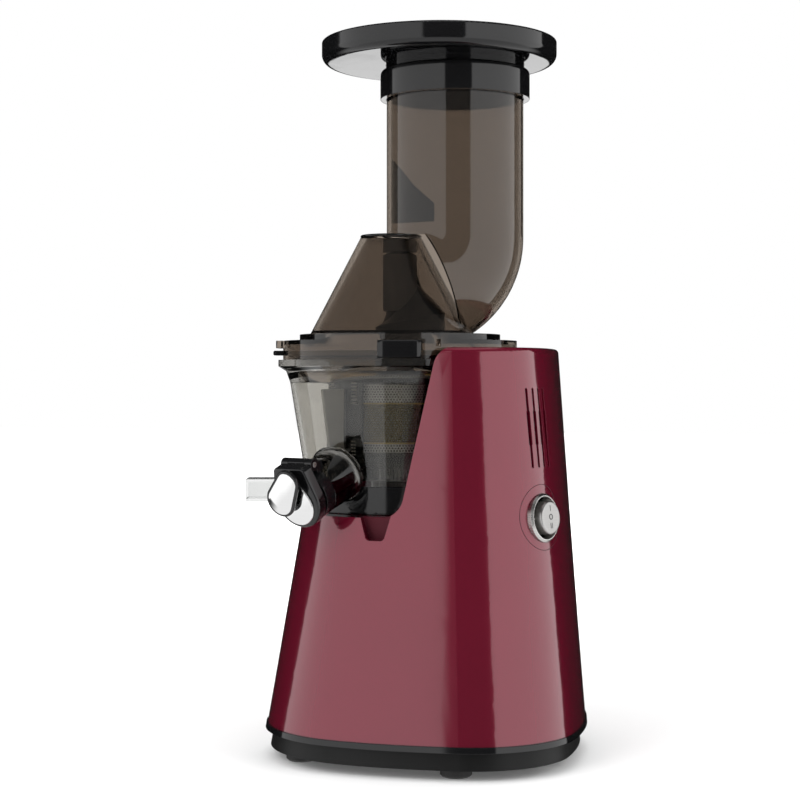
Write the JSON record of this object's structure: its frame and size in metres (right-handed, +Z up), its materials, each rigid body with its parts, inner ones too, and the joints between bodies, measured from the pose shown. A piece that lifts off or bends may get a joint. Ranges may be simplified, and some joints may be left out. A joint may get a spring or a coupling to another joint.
{
  "type": "cold press juicer",
  "caption": "Tall vertical slow juicer: tapered glossy motor base with column, smoky bowl with capped juice nozzle and pulp duct, humped lid with wide elbowed feed tube, round hopper tray.",
  "frame": {"origin": "middle of the overall footprint, on the surface that the feet stand on", "axes": "+Z up along the drive axis, -Y is the front of the housing, +X is the right-hand side with the switch"},
  "size_m": [0.2153, 0.228, 0.448],
  "materials": {
    "burgundy": "glossy",
    "black_gloss": "glossy",
    "black_matte": "fine grained",
    "black_rubber": "matt",
    "steel": "satin",
    "lamination": "stacked sheet",
    "copper": "enamelled wire",
    "cast_aluminium": "cast",
    "bronze": "sintered",
    "gear_nylon": "moulded",
    "board": "satin",
    "grey_plastic": "satin",
    "smoky": "transparent, smoky brown",
    "pale_smoky": "transparent, faintly smoky",
    "clear": "transparent",
    "amber": "translucent amber",
    "pale_silicone": "matt",
    "auger_plastic": "satin",
    "chrome": "polished"
  },
  "bodies": {
    "base": {"body_housing": "burgundy", "base_tray": "black_matte", "trim_band": "black_gloss", "rubber_feet": "black_rubber", "base_screws": "steel", "cord_gland": "black_rubber", "motor_stator": "lamination", "motor_windings": "copper", "motor_lower_bracket": "cast_aluminium", "motor_upper_bracket": "cast_aluminium", "motor_bolts": "steel", "motor_mounts": "black_rubber", "motor_bearings": "steel", "gearbox_case": "cast_aluminium", "gearbox_cover": "cast_aluminium", "gearbox_screws": "steel", "gearbox_bushes": "bronze", "shaft_seal": "black_rubber", "control_board": "board", "run_capacitor": "grey_plastic", "interlock_switch": "black_matte", "vent_baffle": "black_matte", "switch_bezel": "steel", "switch_body": "black_matte"},
    "rotor": {"motor_rotor": "lamination", "motor_shaft": "steel", "cooling_fan": "black_matte"},
    "reduction": {"reduction_gear": "steel"},
    "drive": {"output_gear": "steel", "drive_shaft": "steel"},
    "switch": {"switch_cap": "steel"},
    "bowl": {"juice_bowl": "pale_smoky", "bowl_bottom": "black_gloss", "pulp_nozzle": "clear", "bowl_gasket": "pale_silicone", "idler_pins": "steel", "strainer_frame": "amber", "strainer_mesh": "steel", "cap_bracket": "black_gloss", "cap_pin": "steel"},
    "idler_1": {"idler_gear_1": "gear_nylon"},
    "idler_2": {"idler_gear_2": "gear_nylon"},
    "auger_screw": {"auger": "auger_plastic", "auger_hub": "gear_nylon", "auger_tip": "steel"},
    "brush": {"brush_holder": "smoky", "brush_wipers": "pale_silicone"},
    "juice_cap": {"cap_lever": "black_gloss", "cap_face": "chrome", "cap_thumb_plate": "chrome", "cap_seal": "pale_silicone"},
    "lid": {"bowl_lid": "smoky", "lid_bush": "black_matte", "lid_gasket": "pale_silicone", "feed_guide": "auger_plastic"},
    "tray": {"hopper_tray": "black_gloss"}
  },
  "joints": [
    {"name": "motor_spin", "type": "hinge", "parent": "base", "child": "rotor", "pos_m": [-0.01086, -0.0031, 0.047], "axis": [0, 0, 1], "continuous": true},
    {"name": "reduction_spin", "type": "hinge", "parent": "base", "child": "reduction", "pos_m": [0.02343, 0.0175, 0.101], "axis": [0, 0, 1], "continuous": true},
    {"name": "drive_spin", "type": "hinge", "parent": "base", "child": "drive", "pos_m": [-0.01086, -0.0031, 0.1145], "axis": [0, 0, 1], "continuous": true},
    {"name": "bowl_lift", "type": "slide", "parent": "base", "child": "bowl", "axis": [0, 0, 1], "range_m": [0, 0.07]},
    {"name": "auger_spin", "type": "hinge", "parent": "bowl", "child": "auger_screw", "pos_m": [-0.01086, -0.0031, 0.182], "axis": [0, 0, 1], "continuous": true},
    {"name": "idler_1_spin", "type": "hinge", "parent": "bowl", "child": "idler_1", "pos_m": [0.00677, 0.02117, 0.1718], "axis": [0, 0, 1], "continuous": true},
    {"name": "idler_2_spin", "type": "hinge", "parent": "bowl", "child": "idler_2", "pos_m": [-0.03513, 0.01453, 0.1718], "axis": [0, 0, 1], "continuous": true},
    {"name": "brush_spin", "type": "hinge", "parent": "bowl", "child": "brush", "pos_m": [-0.01086, -0.0031, 0.1718], "axis": [0, 0, 1], "continuous": true},
    {"name": "cap_hinge", "type": "hinge", "parent": "bowl", "child": "juice_cap", "pos_m": [-0.04773, -0.09437, 0.1829], "axis": [-0.9272, 0.3746, 0], "range_deg": [0, 100]},
    {"name": "lid_turn", "type": "hinge", "parent": "bowl", "child": "lid", "pos_m": [-0.01086, -0.0031, 0.257], "axis": [0, 0, 1], "range_deg": [0, 25]},
    {"name": "tray_lift", "type": "slide", "parent": "lid", "child": "tray", "axis": [0, 0, 1], "range_m": [0, 0.045]},
    {"name": "switch_rock", "type": "hinge", "parent": "base", "child": "switch", "pos_m": [0.08853, -0.04643, 0.1502], "axis": [0.3956, 0.9184, 0], "range_deg": [-8, 8]}
  ],
  "couplings": [
    {"joint": "reduction_spin", "follows": "motor_spin", "ratio": -0.19403},
    {"joint": "drive_spin", "follows": "motor_spin", "ratio": 0.044776},
    {"joint": "auger_spin", "follows": "motor_spin", "ratio": 0.044776},
    {"joint": "idler_1_spin", "follows": "motor_spin", "ratio": -0.067164},
    {"joint": "idler_2_spin", "follows": "motor_spin", "ratio": -0.067164},
    {"joint": "brush_spin", "follows": "motor_spin", "ratio": -0.01919}
  ]
}
